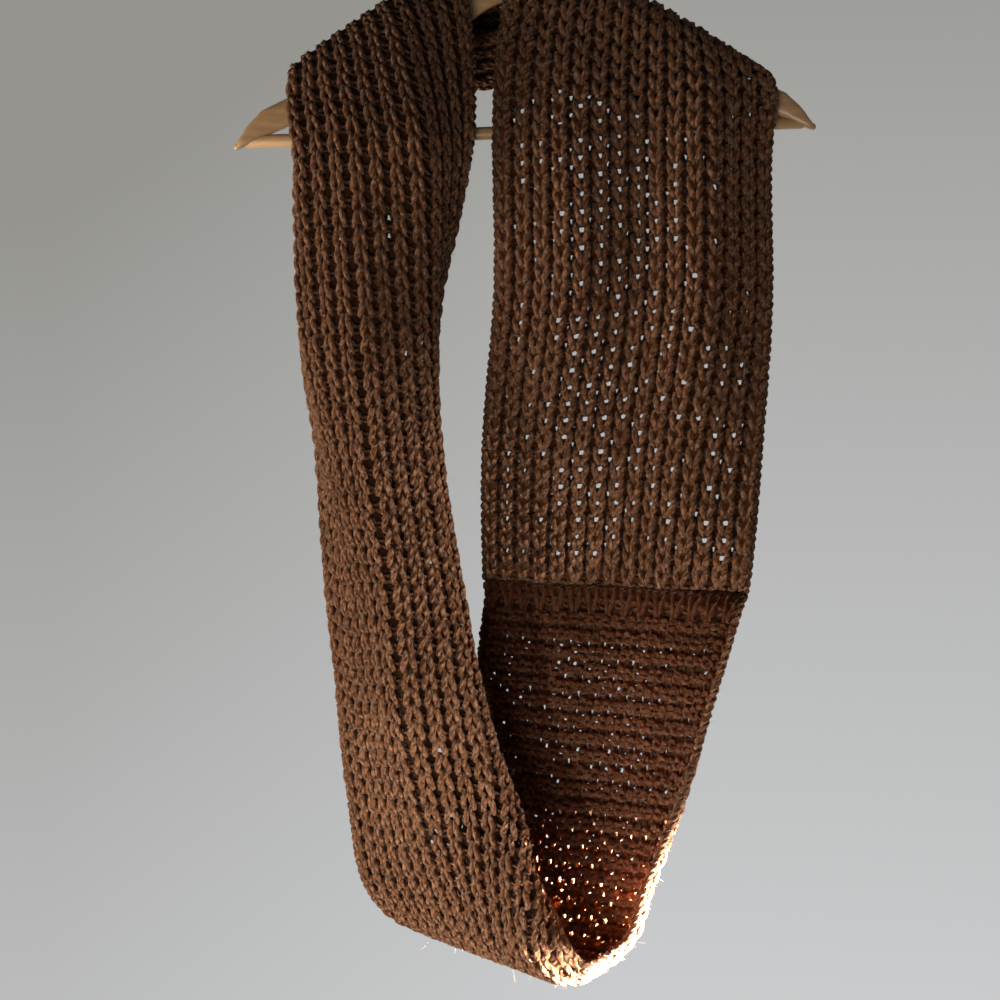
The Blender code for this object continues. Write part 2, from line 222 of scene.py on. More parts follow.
def over_the_seam(points, out, wall):
    """The grid with rows added from the strip's end to its start. The start is taken edge for edge
    and face for back, because the loop has a half twist."""
    share = (np.arange(SEAM_ROWS) + 1.0)[:, None, None] / SEAM_ROWS
    more_points = points[-1] + share * (points[0, ::-1] - points[-1])
    more_out = unit(out[-1] * (1 - share) - out[0, ::-1] * share)
    more_wall = np.repeat(wall[-1:], SEAM_ROWS, axis=0)
    pairs = ((points, more_points), (out, more_out), (wall, more_wall))
    return [np.concatenate(pair) for pair in pairs]


GRID_AT = np.linspace(0.0, STRIP_LENGTH, 1201)
GRID_STEP = GRID_AT[1]
SEAM_ROWS = 10
GRID_POINTS, GRID_OUT, GRID_WALL = over_the_seam(*even_rows(GRID_AT, *sheet_grid(GRID_AT)))
SEAM_TOP = STRIP_LENGTH + SEAM_ROWS * GRID_STEP
print("grid of the cloth:", GRID_POINTS.shape)


def on_cloth(along, across, height):
    """Points in space for these addresses. Height is out of the cloth's middle, in millimetres for
    a wall of full thickness, and shrinks with the wall where the cloth is pressed thin."""
    a = np.clip(along / GRID_STEP, 0, len(GRID_POINTS) - 1.001)
    b = np.clip(across * GRID_PER_RIB, 0, RIBS * GRID_PER_RIB - 0.001)
    i, j = a.astype(int), b.astype(int)
    u, v = (a - i)[..., None], (b - j)[..., None]

    def read(grid):
        return (
            (1 - u) * ((1 - v) * grid[i, j] + v * grid[i, j + 1])
            + u * ((1 - v) * grid[i + 1, j] + v * grid[i + 1, j + 1])
        )

    beyond = (across - np.clip(across, 0, RIBS))[..., None]
    side = GRID_POINTS[i, np.minimum(j + 1, RIBS * GRID_PER_RIB)] - GRID_POINTS[i, j]
    out = unit(read(GRID_OUT))
    thin = (GRID_WALL[i, j] / WALL)[..., None]
    points = read(GRID_POINTS) + beyond * GRID_PER_RIB * side
    return points + out * height[..., None] * thin, out


# %% [markdown]
# ## One row of knitting
#
# Each face has a column of stitches in every rib, and the columns of the back lie half a rib aside.
# The yarn makes a tall loop in a front column, then passes low behind the next back column, and so
# on across. The next row does the same on the other face, half a stitch higher.
#
# The loop is given by eight listed points for its left half: the pass behind the neighbour,
# the foot, the leg that shows as half a V, and the head that hides behind the next V. The right
# half is the mirror image. The legs are plump and the parts that hide are drawn thin.
#
# Below the seam the photograph shows the cloth's other side, where the rows are bands of round
# bumps. A second table gives that loop: its low part lies in front and its legs go behind. Two
# sets of these loops, half a rib apart, lock into each other and fill the bands.
#
# Yarn is never quite even, so every stitch, every point of it and every row strays a little.

# %% The loop and the rows
STITCH = 13.4
PITCH = 14.6
YARN_RADIUS = 1.9
ROW_REACH = 1.38

LoopPoint = namedtuple("LoopPoint", "what x y out thick")
HALF_LOOP = [
    LoopPoint("pass behind the neighbour", -7.3, 0.03, -0.6, 0.80),
    LoopPoint("foot", -3.4, 0.07, 0.0, 0.85),
    LoopPoint("root of the V", -1.1, 0.13, 1.7, 0.95),
    LoopPoint("leg, low", -1.2, 0.36, 3.0, 1.08),
    LoopPoint("leg, middle", -1.9, 0.64, 3.4, 1.15),
    LoopPoint("leg, high", -2.7, 0.93, 3.0, 1.08),
    LoopPoint("shoulder", -2.9, 1.16, 1.8, 0.95),
    LoopPoint("head", 0.0, ROW_REACH, 0.3, 0.80),
]
HALF_BUMP = [
    LoopPoint("bump between columns", -7.3, 0.00, 3.0, 1.30),
    LoopPoint("bump, side", -5.4, 0.04, 2.8, 1.25),
    LoopPoint("bump, end", -4.2, 0.16, 1.6, 1.00),
    LoopPoint("leg, low", -3.8, 0.42, 0.0, 0.62),
    LoopPoint("leg, high", -3.8, 0.95, 0.0, 0.62),
    LoopPoint("head, corner", -3.4, 1.26, 1.6, 1.00),
    LoopPoint("head, side", -1.9, 1.38, 2.8, 1.25),
    LoopPoint("head, top", 0.0, 1.42, 3.0, 1.30),
]

# A layer is one set of rows: the face it is on, its loop, its first and last column in ribs, how
# far up its rows start, in stitches, how thick it lies, and how far its heads may pass the
# strip's end, in millimetres.
Layer = namedtuple("Layer", "face loop first_column last_column shift lift past")
OUTER_VS = Layer(1, HALF_LOOP, 0.5, RIBS - 0.5, 0.0, 1.0, 6.0)
INNER_VS = Layer(-1, HALF_LOOP, 1.0, RIBS - 1.0, 0.5, 1.0, 6.0)
FLAT_VS = Layer(1, HALF_LOOP, 0.5, RIBS - 0.5, 0.0, 0.8, 6.0)
INNER_BUMPS = Layer(-1, HALF_BUMP, 1.0, RIBS - 1.0, 0.1, 0.75, 8.0)
MORE_BUMPS = Layer(-1, HALF_BUMP, 0.5, RIBS - 0.5, 0.1, 0.75, 8.0)

# The Vs are pulled wide on the right panel and hang long and narrow on the left one.
PLACE_AT = dict(zip(NAMES, KNOTS))
VWidth = namedtuple("VWidth", "place share")
V_WIDTHS = [
    VWidth("seam, upper side", 1.60),
    VWidth("right arm, front", 1.55),
    VWidth("nape, middle", 1.00),
    VWidth("left arm, front", 1.22),
    VWidth("left panel, foot", 1.40),
    VWidth("loop, left corner", 1.40),
    VWidth("loop, right corner", 1.30),
]
LEG_REACH = 0.3

# How far yarn strays: along and out in millimetres, across in ribs. Bumps stray more than Vs.
Stray = namedtuple("Stray", "along across out")
STITCH_STRAY = Stray(0.45, 0.02, 0.18)
POINT_STRAY = Stray(0.18, 0.010, 0.12)
ROW_STRAY = 0.35
THICK_STRAY = 0.04
BUMP_STRAY = 1.8


def row_starts(first, last, layer):
    """Where this layer's rows start between two distances, counted from the strip's start."""
    shift = layer.shift * STITCH
    numbers = np.arange(math.ceil((first - shift) / STITCH), math.ceil((last - shift) / STITCH))
    return numbers * STITCH + shift


def one_period(half_loop):
    """The loop's points for one rib, as x in ribs from the column, y along in millimetres, height
    out of the cloth and thickness. The last point is left out: the next rib starts with it."""
    left = np.array([point[1:] for point in half_loop], float)
    right = left[::-1][1:] * [-1, 1, 1, 1]
    loop = np.concatenate([left, right])[:-1]
    return loop * [1 / PITCH, STITCH, 1.0, 1.0]


def knit_rows(first, last, layer, chance):
    """Addresses of the yarn of every row between two distances, and its thickness: arrays with a
    row of the knitting in each row and along, across and height in the last axis. A row's own
    loops are all as wide as the place asks, and every stitch is a little different."""
    loop = one_period(layer.loop)
    columns = np.arange(layer.first_column, layer.last_column + 0.1)
    starts = row_starts(first, last, layer)
    starts = starts[starts + loop[:, 1].max() <= STRIP_LENGTH + layer.past]
    width = np.ones(len(starts))
    if layer.face > 0:
        places = [PLACE_AT[w.place] for w in V_WIDTHS]
        width = np.interp(starts, places, [w.share for w in V_WIDTHS])
    x, rise, out, thick = np.vstack([np.tile(loop, (len(columns), 1)), loop[:1]]).T
    legs = np.abs(x) < LEG_REACH
    column = np.append(np.repeat(columns, len(loop)), columns[-1] + 1.0)
    across = column + x * np.where(legs, width[:, None], 1.0)
    along = starts[:, None] + rise
    height = out * layer.face * layer.lift
    rows, points = along.shape
    stitches = points // len(loop) + 1

    def uneven(size):
        """A little difference for every stitch, the same over the stitch's own points."""
        more = BUMP_STRAY if layer.loop is HALF_BUMP else 1.0
        values = chance.normal(0.0, size * more, (rows, stitches))
        return np.repeat(values, len(loop), axis=1)[:, :points]

    def strayed(values, of_stitch, of_point):
        """These values with each stitch and each point moved a little."""
        return values + uneven(of_stitch) + chance.normal(0, of_point, (rows, points))

    across = strayed(across, STITCH_STRAY.across, POINT_STRAY.across)
    along = strayed(along, STITCH_STRAY.along, POINT_STRAY.along)
    height = strayed(height, STITCH_STRAY.out, POINT_STRAY.out)
    along = along + chance.normal(0, ROW_STRAY, (rows, 1))
    plump = 0.5 + 0.5 * width[:, None]
    return np.stack([along, across, height], axis=-1), thick * plump * (1 + uneven(THICK_STRAY))


# %% [markdown]
# ## From a line to a yarn
#
# `tube_arrays` sweeps a small ring along many lines at once. The ring stands on the cloth's own
# outward direction, which the yarn never runs along, so no ring can flip. The map coordinates run
# along the yarn in metres and once round it, and the finish uses them to lay its twisted plies.


# %% Sweep tubes
def mesh_object(name, corners, quads, finish, triangles=None, uv=None, proud=None):
    """A smooth mesh object from whole arrays, with the corners in millimetres. The map has one
    entry for each corner of each quad, and the triangles take the map's origin. Proud is a number
    for each corner, from 0 low down in the knitting to 1 on top of it; the yarn finishes read it
    to paint shade low down."""
    triangles = np.empty((0, 3), int) if triangles is None else triangles
    mesh = bpy.data.meshes.new(name)
    mesh.vertices.add(len(corners))
    mesh.vertices.foreach_set("co", (corners * MM).astype(np.float32).ravel())
    loops = np.concatenate([quads.ravel(), triangles.ravel()]).astype(np.int32)
    mesh.loops.add(len(loops))
    mesh.loops.foreach_set("vertex_index", loops)
    starts = np.concatenate([np.arange(len(quads)) * 4, quads.size + np.arange(len(triangles)) * 3])
    mesh.polygons.add(len(starts))
    mesh.polygons.foreach_set("loop_start", starts.astype(np.int32))
    mesh.polygons.foreach_set("use_smooth", np.ones(len(starts), bool))
    if uv is not None:
        layer = mesh.uv_layers.new(name="yarn_map")
        filled = np.zeros((len(loops), 2), np.float32)
        filled[: len(uv)] = uv
        layer.data.foreach_set("uv", filled.ravel())
    if proud is not None:
        mesh.attributes.new("proud", "FLOAT", "POINT").data.foreach_set(
            "value", proud.astype(np.float32).ravel()
        )
    mesh.update(calc_edges=True)
    mesh.materials.append(finish)
    piece = bpy.data.objects.new(name, mesh)
    bpy.context.scene.collection.objects.link(piece)
    return piece


PROUD_HEIGHT = 5.0
Bundle = namedtuple("Bundle", "points out radius height")


def tube_arrays(points, out, radius, height, sides):
    """Corners, quads, end triangles, map and proudness of closed tubes along these lines: an array
    of lines, points and coordinates, and the direction out of the cloth and the height at every
    point. A corner is the line's point plus the radius times the cosine and sine of its angle,
    taken along the two directions that stand square to the line."""
    lines, count = points.shape[:2]
    along = unit(np.gradient(points, axis=1))
    side = unit(np.cross(along, out))
    up = np.cross(side, along)
    angle = 2 * np.pi * np.arange(sides)[:, None] / sides
    ring = side[:, :, None] * np.cos(angle) + up[:, :, None] * np.sin(angle)
    width = np.broadcast_to(radius, (lines, count))[:, :, None, None]
    corners = points[:, :, None] + ring * width
    rise = (ring * out[:, :, None]).sum(axis=-1) * width[..., 0]
    proud = np.abs(np.broadcast_to(height, (lines, count))[:, :, None] + rise) / PROUD_HEIGHT
    index = np.arange(lines * count * sides).reshape(lines, count, sides)
    here, ahead = index[:, :-1], index[:, 1:]
    quads = np.stack(
        [here, np.roll(here, -1, axis=2), np.roll(ahead, -1, axis=2), ahead], axis=-1
    )
    steps = np.linalg.norm(np.diff(points, axis=1), axis=2)
    length = np.concatenate([np.zeros((lines, 1)), np.cumsum(steps, axis=1)], axis=1) * MM
    turn = np.broadcast_to(np.arange(sides) / sides, here.shape)
    next_turn = turn + 1 / sides
    u_here, u_ahead = length[:, :-1, None] + 0 * turn, length[:, 1:, None] + 0 * turn
    u = np.stack([u_here, u_here, u_ahead, u_ahead], axis=-1)
    v = np.stack([turn, next_turn, next_turn, turn], axis=-1)
    uv = np.stack([u, v], axis=-1).reshape(-1, 2)
    ends = (index[:, 0, ::-1], index[:, -1])
    fans = [end[:, [0, k, k + 1]] for end in ends for k in range(1, sides - 1)]
    return corners.reshape(-1, 3), quads.reshape(-1, 4), np.concatenate(fans), uv, proud.ravel()


def tube_object(name, bundles, finish, sides=5):
    """One object of several bundles of tubes."""
    corners, quads, fans, maps, prouds = zip(*(tube_arrays(*bundle, sides) for bundle in bundles))
    bases = np.cumsum([0] + [len(part) for part in corners[:-1]])
    quads = [part + base for part, base in zip(quads, bases)]
    fans = [part + base for part, base in zip(fans, bases)]
    corners, quads, fans, maps, prouds = map(np.concatenate, (corners, quads, fans, maps, prouds))
    return mesh_object(name, corners, quads, finish, fans, maps, prouds)


# %% [markdown]
# ## The finishes
#
# Every finish is a small node graph on the Principled shader. The yarn has two twisted plies,
# fine fibres along them, patches of lighter and darker wool and a soft sheen. A little light goes
# through it, as through real wool held against a window. The valleys between the plies, and wool
# low down in the knitting, are darkened as painted shade. The inside of the loop at the bottom
# gets a darker and redder wool, painted shade and a painted red glow, because in the photograph
# light reaches it mostly through the cloth and the lamps alone do not show that. The core between
# the faces is darker than the yarn: painted shade in the furrows.


# %% Finishes
class Graph:
    """A short way to write a node graph: each call adds a node and joins its inputs, which are
    given by name or by number, as i0 or i1."""

    def __init__(self, name):
        self.material = bpy.data.materials.new(name)
        self.material.use_nodes = True
        self.tree = self.material.node_tree
        self.tree.nodes.clear()
        self.count = 0

    def node(self, kind, settings=None, **inputs):
        made = self.tree.nodes.new(kind)
        self.count += 1
        made.location = (self.count * 180, (self.count % 5) * -160)
        for key, value in (settings or {}).items():
            setattr(made, key, value)
        for key, value in inputs.items():
            numbered = key[0] == "i" and key[1:].isdigit()
            socket = made.inputs[int(key[1:]) if numbered else key.replace("_", " ")]
            if isinstance(value, bpy.types.NodeSocket):
                self.tree.links.new(value, socket)
            else:
                socket.default_value = value
        return made

    def math(self, operation, a, b=0.0, c=0.0):
        return self.node("ShaderNodeMath", {"operation": operation}, i0=a, i1=b, i2=c).outputs[0]

    def blend(self, share, a, b):
        """Colour a where share is 0 and colour b where it is 1."""
        made = self.node("ShaderNodeMix", {"data_type": "RGBA"}, i0=share)
        for index, value in ((6, a), (7, b)):
            if isinstance(value, bpy.types.NodeSocket):
                self.tree.links.new(value, made.inputs[index])
            else:
                made.inputs[index].default_value = (*value, 1.0)
        return made.outputs[2]

    def ramp(self, value, low, high):
        """0 below low and 1 above high."""
        return self.node("ShaderNodeMapRange", i0=value, i1=low, i2=high).outputs[0]

    def noise(self, place, scale, detail=3.0):
        made = self.node("ShaderNodeTexNoise", Vector=place, Scale=scale, Detail=detail)
        return made.outputs["Fac"]

    def scaled(self, place, scale):
        return self.node("ShaderNodeMapping", Vector=place, Scale=scale).outputs[0]

    def bump(self, height, strength, distance):
        made = self.node("ShaderNodeBump", Height=height, Strength=strength, Distance=distance)
        return made.outputs[0]

    def finish(self, shader):
        out = self.node("ShaderNodeOutputMaterial")
        self.tree.links.new(shader, out.inputs["Surface"])
        return self.material


TWISTS_PER_METRE = 150.0
PLIES = 2.0
FIBRE_SCALE = 560.0
STRAND_SCALE = 260.0
PATCH_SCALE = 28.0
YARN_RELIEF = 0.0016


def yarn_finish(name, dark, middle, light, through, warm=(0.42, 0.17, 0.06), painted_shade=None):
    """Twisted wool: plies from the map, fibres along them, patches from the place in space. The
    valleys between the plies are darkened: painted shade. The light that comes through the wool
    has a warm colour of its own. Where a colour for painted shade is given, wool takes it low down
    in the knitting, where the fuzz swallows the light: painted shade."""
    g = Graph(name)
    place = g.node("ShaderNodeTexCoord").outputs["Object"]
    chart = g.node("ShaderNodeUVMap", {"uv_map": "yarn_map"}).outputs[0]
    split = g.node("ShaderNodeSeparateXYZ", Vector=chart)
    along, round_it = split.outputs[0], split.outputs[1]
    lengthways = g.math("MULTIPLY", along, TWISTS_PER_METRE)
    twist = g.math("ADD", lengthways, g.math("MULTIPLY", round_it, PLIES))
    ply = g.math("ABSOLUTE", g.math("SINE", g.math("MULTIPLY", twist, math.pi)))
    fibres = g.noise(g.scaled(place, (1.0, 1.0, 0.6)), FIBRE_SCALE, 4.0)
    strand = g.noise(place, STRAND_SCALE, 2.0)
    patches = g.noise(place, PATCH_SCALE)
    shade = g.blend(g.ramp(patches, 0.35, 0.65), dark, middle)
    shade = g.blend(g.math("MULTIPLY", g.ramp(strand, 0.45, 0.75), 0.75), shade, light)
    # Painted shade: the valleys between the plies are darker.
    shade = g.blend(g.math("MULTIPLY", g.ramp(ply, 0.45, 0.0), 0.55), shade, dark)
    shade = g.blend(g.math("MULTIPLY", g.ramp(fibres, 0.50, 0.61), 0.85), shade, light)
    shade = g.blend(g.math("MULTIPLY", g.ramp(fibres, 0.47, 0.38), 0.75), shade, dark)
    # Painted shade: the wool blends to the given colour where it lies low in the knitting.
    if painted_shade:
        proud = g.node("ShaderNodeAttribute", {"attribute_name": "proud"}).outputs["Fac"]
        shade = g.blend(g.ramp(proud, 0.8, 0.05), shade, painted_shade)
    height = g.math("ADD", g.math("MULTIPLY", ply, 1.0), g.math("MULTIPLY", fibres, 0.6))
    normal = g.bump(height, 1.0, YARN_RELIEF)
    wool = g.node(
        "ShaderNodeBsdfPrincipled",
        Base_Color=shade,
        Roughness=0.85,
        Normal=normal,
        Sheen_Weight=0.25,
        Sheen_Roughness=0.4,
        Sheen_Tint=(1.0, 0.85, 0.7, 1.0),
        Specular_IOR_Level=0.08,
    ).outputs[0]
    lit = g.blend(0.6, shade, warm)
    glow = g.node("ShaderNodeBsdfTranslucent", Color=lit).outputs[0]
    return g.finish(g.node("ShaderNodeMixShader", i0=through, i1=wool, i2=glow).outputs[0])


def wood_finish(name):
    """Pale beech: long soft streaks along the hanger, short dark flecks and a satin varnish."""
    g = Graph(name)
    place = g.node("ShaderNodeTexCoord").outputs["Object"]
    streaks = g.noise(g.scaled(place, (3.0, 60.0, 60.0)), 4.0, 5.0)
    flecks = g.noise(g.scaled(place, (30.0, 400.0, 400.0)), 3.0, 2.0)
    shade = g.blend(g.ramp(streaks, 0.35, 0.7), (0.46, 0.28, 0.135), (0.60, 0.395, 0.21))
    shade = g.blend(g.math("MULTIPLY", g.ramp(flecks, 0.6, 0.8), 0.4), shade, (0.32, 0.17, 0.08))
    normal = g.bump(streaks, 0.15, 0.0004)
    return g.finish(
        g.node(
            "ShaderNodeBsdfPrincipled",
            Base_Color=shade,
            Roughness=g.math("ADD", g.math("MULTIPLY", flecks, 0.2), 0.28),
            Normal=normal,
            Coat_Weight=0.3,
            Coat_Roughness=0.25,
        ).outputs[0]
    )


def steel_finish(name):
    """Polished wire with faint draw marks round it."""
    g = Graph(name)
    place = g.node("ShaderNodeTexCoord").outputs["Object"]
    marks = g.noise(g.scaled(place, (300.0, 300.0, 40.0)), 4.0, 3.0)
    shade = g.blend(marks, (0.62, 0.62, 0.63), (0.82, 0.82, 0.83))
    return g.finish(
        g.node(
            "ShaderNodeBsdfPrincipled",
            Base_Color=shade,
            Metallic=1.0,
            Roughness=g.math("ADD", g.math("MULTIPLY", marks, 0.18), 0.12),
            Normal=g.bump(marks, 0.1, 0.0002),
        ).outputs[0]
    )


# The given colour for painted shade darkens the yarn low down in the knitting.
YARN = yarn_finish(
    "brown_wool",
    dark=(0.11, 0.043, 0.018),
    middle=(0.21, 0.094, 0.047),
    light=(0.40, 0.218, 0.128),
    through=0.32,
    painted_shade=(0.070, 0.029, 0.014),
)
# A darker, redder copy of the wool for the inside of the loop at the bottom: painted shade and a
# painted red glow of light that comes through the cloth.
INSIDE_YARN_PAINTED_SHADE = yarn_finish(
    "brown_wool_inside_painted_shade",
    dark=(0.065, 0.024, 0.010),
    middle=(0.120, 0.050, 0.024),
    light=(0.230, 0.115, 0.062),
    through=0.5,
    warm=(0.80, 0.28, 0.09),
    painted_shade=(0.030, 0.011, 0.005),
)
# The core is the same wool coloured darker than the yarn: painted shade in the furrows, on a layer
# that stands for the real crossing strands.
CORE_PAINTED_SHADE = yarn_finish(
    "brown_wool_core_painted_shade",
    dark=(0.050, 0.020, 0.009),
    middle=(0.078, 0.032, 0.015),
    light=(0.105, 0.045, 0.022),
    through=0.5,
    warm=(0.36, 0.10, 0.03),
)
# Hairs near the yarn take the painted shade too.
FUZZ = yarn_finish(
    "brown_wool_hairs",
    dark=(0.26, 0.12, 0.06),
    middle=(0.40, 0.22, 0.12),
    light=(0.60, 0.40, 0.26),
    through=0.5,
    warm=(0.7, 0.5, 0.34),
    painted_shade=(0.05, 0.02, 0.01),
)
WOOD = wood_finish("varnished_beech")
STEEL = steel_finish("drawn_steel")
print("finishes:", [m.name for m in bpy.data.materials][:8])

# %% [markdown]
# ## The knitting, stretch by stretch
#
# Each stretch that shows is made of four things. The rows of yarn are the knitting itself. Short
# strands of yarn arch across the furrows between columns of Vs. A thin core lies between the two
# faces, where the real rib has its crossing strands: it is pierced where the photograph shows
# points of light, and its wool is coloured darker than the yarn, painted shade that keeps the
# furrows dark. Hairs stand off the yarn, most of them short.
#
# Cloth knitted from yarn could also be a picture on a plain surface. Real loops were chosen because
# the photograph shows each stitch, its shadow and its outline against the wall.
#
# The rows of both faces run on from one stretch to the next, because a row's place is counted from
# the start of the strip and not from the start of the stretch.

# %% Stretches
BOTH_VS = (OUTER_VS, INNER_VS)
VS_AND_BUMPS = (FLAT_VS, INNER_BUMPS, MORE_BUMPS)
Stretch = namedtuple("Stretch", "node first last layers open rests_on")
STRETCHES = [
    Stretch("scarf_right_upper", "seam, upper side", "right arm, front", BOTH_VS, 0.8, []),
    Stretch("scarf_back_neck", "right arm, front", "left arm, front", BOTH_VS, 0.05, ["hanger_arms"]),
    Stretch("scarf_left_front", "left arm, front", "loop, left side", BOTH_VS, 0.04, []),
    Stretch("scarf_bottom", "loop, left side", "loop, right side", VS_AND_BUMPS, 1.0, []),
    Stretch("scarf_right_lower", "loop, right side", "seam, lower side", VS_AND_BUMPS, 1.0, []),
]

# How much light comes through: most in the middle ribs, hardly any where the cloth folds at the
# fourth rib, and little at the edges.
LightShare = namedtuple("LightShare", "rib share")
LIGHT = [
    LightShare(0.5, 0.30),
    LightShare(1.5, 0.80),
    LightShare(2.8, 0.60),
    LightShare(3.8, 0.10),
    LightShare(4.4, 0.30),
    LightShare(5.5, 0.95),
    LightShare(11.0, 0.95),
    LightShare(12.0, 0.35),
    LightShare(13.6, 0.55),
    LightShare(15.0, 0.20),
]


def row_bundle(rows, thick, chance):
    """The bundle of tubes for the yarn at these addresses, with an uneven radius."""
    points, out = on_cloth(rows[..., 0], rows[..., 1], rows[..., 2])
    radius = YARN_RADIUS * thick * (1 + chance.normal(0, THICK_STRAY, points.shape[:2]))
    return Bundle(points, out, radius, rows[..., 2])


StrandPoint = namedtuple("StrandPoint", "x y out")
FURROW_STRAND = [
    StrandPoint(-3.6, 0.56, 0.2),
    StrandPoint(-1.4, 0.78, 1.3),
    StrandPoint(1.4, 0.80, 1.3),
    StrandPoint(3.6, 0.66, 0.2),
]
STRAND_SHARE = 0.72
STRAND_STRAY = Stray(0.5, 0.02, 0.15)


def furrow_strands(first, last, layer, chance):
    """The held yarn that arches across every furrow, one short strand to a row: it lies between
    this layer's columns, low down, and leaves the openings in the Vs free."""
    starts = row_starts(first, last, layer)
    furrows = np.arange(layer.first_column + 0.5, layer.last_column)
    table = np.array(FURROW_STRAND, float) * [1 / PITCH, STITCH, layer.face]
    start, furrow = (grid.reshape(-1, 1) for grid in np.meshgrid(starts, furrows))
    rows = np.stack([start + table[:, 1], furrow + table[:, 0], 0 * start + table[:, 2]], axis=-1)
    rows = rows[rows[:, -1, 0] < STRIP_LENGTH]
    rows = rows + chance.normal(0, 1, (len(rows), 1, 3)) * STRAND_STRAY
    return row_bundle(rows, STRAND_SHARE, chance)


EDGE_INSET = 0.06
EDGE_SWING = 0.10
EDGE_DEPTH = 1.9
EDGE_THICK = 1.05
EDGE_STRAY = Stray(0.4, 0.012, 0.15)


def edge_rows(first, last, chance):
    """A chain up each edge of the strip: two yarns, half a turn apart, wind once round the edge in
    every row. A yarn swings across by a cosine and in and out by a sine."""
    n = np.arange(math.ceil(first / STITCH), math.ceil(last / STITCH))
    steps = np.arange(len(n) * 8 + 3) / 8
    wave = 2 * np.pi * steps
    cords = []
    for edge, side in ((0.0, -1), (float(RIBS), 1)):
        for start in (0.0, np.pi):
            along = (n[0] + steps) * STITCH
            across = edge - side * EDGE_INSET + side * EDGE_SWING * np.cos(wave + start)
            height = EDGE_DEPTH * np.sin(wave + start)
            cords.append(np.stack([along, across, height], axis=-1))
    cords = np.stack(cords)
    cords[..., 0] = np.minimum(cords[..., 0], SEAM_TOP)
    return cords + chance.normal(0, 1, cords.shape) * EDGE_STRAY


def middle_grid(along, across):
    """Points in the cloth's middle at these distances and ribs, and the cells between them."""
    along = along[:, None] + 0 * across
    points, _ = on_cloth(along, across + 0 * along, 0 * along)
    index = np.arange(along.size).reshape(along.shape)
    cells = np.stack([index[:-1, :-1], index[:-1, 1:], index[1:, 1:], index[1:, :-1]], axis=-1)
    return points.reshape(-1, 3), cells


FURROW_SHARE = 0.75
CLOSED_AT_START = 1.5 * STITCH
CLOSED_AT_END = 2.5 * STITCH


def core_object(name, first, last, openness, slanted, chance):
    """The thin middle layer, a grid of four cells to a rib and to a stitch, and the share of its
    cells that are open. Openings are inside the Vs of both faces, by chance. Where bumps stand
    before them, the cells beside and above each are open too, so that light finds a slanting way
    through."""
    across = np.concatenate([[0.0], (np.arange(RIBS * 4) + 0.5) / 4, [float(RIBS)]])
    k = np.arange(math.ceil(first / STITCH * 4), math.floor(last / STITCH * 4) + 1)
    along = k * STITCH / 4
    along[0], along[-1] = first, last
    points, cells = middle_grid(along, across)
    column = np.arange(len(across) - 1)[None, :]
    level = (k[:-1] % 4)[:, None]
    in_column = (column % 2 == 0) & (column > 2) & (column < len(across) - 4)
    in_v = (column % 4 == 2) & (level == 3)
    in_furrow = (column % 4 == 0) & (level == 1)
    share = np.interp(column / 4, [light.rib for light in LIGHT], [light.share for light in LIGHT])
    share = share * openness * in_column
    luck = chance.random((len(level), column.shape[1]))
    open_cell = in_v & (luck < share) | in_furrow & (luck < FURROW_SHARE * share)
    if slanted:
        first_ones = open_cell.copy()
        open_cell[:, 1:] |= first_ones[:, :-1]
        open_cell[1:] |= first_ones[:-1]
    from_ends = (along[:-1] > CLOSED_AT_START) & (along[:-1] < STRIP_LENGTH - CLOSED_AT_END)
    open_cell &= from_ends[:, None]
    open_cell[[0, -1]] = False
    return mesh_object(name, points, cells[~open_cell], CORE_PAINTED_SHADE), open_cell.mean()


def blades(root, way, bend, width, shares):
    """Corners of narrow tapering blades from their roots: a pair of corners at every share of the
    length, and a tip. A blade leaves along its way and bends more and more."""
    side = unit(np.cross(way, bend)) * width
    rings = []
    for share in shares:
        middle = root + way * share + bend * share**2
        rings += [middle - side * (1 - 0.5 * share), middle + side * (1 - 0.5 * share)]
    return np.stack([*rings, root + way + bend], axis=1)


Hair = namedtuple("Hair", "per_metre shortest longest width bending shares")
HAIRS = [
    Hair(21000, 1.2, 3.6, 0.12, 0.6, (0.0, 0.55)),
    Hair(1100, 5.0, 9.0, 0.05, 1.3, (0.0, 0.3, 0.6, 0.85)),
]
HAIR_ROOT_HEIGHT = 1.2
LEAN_OUT = 1.1
HANG = -0.3
# Hairs count as a little prouder than the yarn they root on, so they take less of the painted shade.
HAIR_PROUD = 0.3


